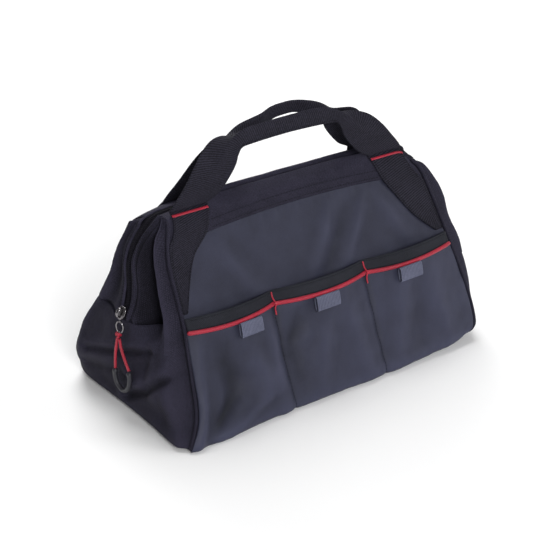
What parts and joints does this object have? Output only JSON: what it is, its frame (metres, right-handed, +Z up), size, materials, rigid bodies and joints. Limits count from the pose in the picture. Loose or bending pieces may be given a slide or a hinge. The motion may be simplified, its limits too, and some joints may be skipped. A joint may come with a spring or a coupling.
{
  "type": "tool bag",
  "caption": "Soft ridge-topped tool bag with leaning cloth walls, a zip over the ridge, webbing carry handles and piped front pockets with pen loops.",
  "frame": {"origin": "middle of the base, on the surface the bag stands on", "axes": "+Z up, +X along the ridge to the right as seen from the pocket side, the pocket side towards -Y"},
  "size_m": [0.3819, 0.1995, 0.2555],
  "materials": {
    "coated_cloth": "smooth coated polyester, satin",
    "woven_cloth": "coarse woven polyester, matte",
    "webbing": "ribbed webbing, matte",
    "loop_webbing": "fine elastic webbing, matte",
    "binding_tape": "folded binding tape, matte",
    "red_trim": "thread and woven piping, satin",
    "zip_cloth": "woven zip tape and coil, matte",
    "dark_metal": "dark nickel plate, polished",
    "grip_rubber": "moulded rubber, matte"
  },
  "bodies": {
    "root": {"front_panel": "coated_cloth", "front_top_band": "woven_cloth", "front_handle": "webbing", "front_left_piping": "woven_cloth", "front_left_tack": "red_trim", "left_end_front": "woven_cloth", "front_right_piping": "woven_cloth", "front_right_tack": "red_trim", "right_end_front": "woven_cloth", "rear_panel": "coated_cloth", "rear_top_band": "woven_cloth", "rear_handle": "webbing", "rear_left_piping": "woven_cloth", "rear_left_tack": "red_trim", "left_end_rear": "woven_cloth", "rear_right_piping": "woven_cloth", "rear_right_tack": "red_trim", "right_end_rear": "woven_cloth", "left_end_lower": "woven_cloth", "right_end_lower": "woven_cloth", "base_panel": "woven_cloth", "pocket_panel": "coated_cloth", "pocket_binding": "binding_tape", "pocket_piping": "red_trim", "pocket_tick_left": "red_trim", "pocket_tick_right": "red_trim", "pen_loop_1": "loop_webbing", "pen_loop_2": "loop_webbing", "pen_loop_3": "loop_webbing", "zip_tape_front": "zip_cloth", "zip_tape_rear": "zip_cloth", "zip_chain": "zip_cloth", "zip_slider": "dark_metal", "pull_ring": "dark_metal", "pull_knot": "red_trim", "pull_strand_rear": "red_trim", "pull_strand_front": "red_trim", "pull_grip": "grip_rubber"}
  },
  "joints": []
}
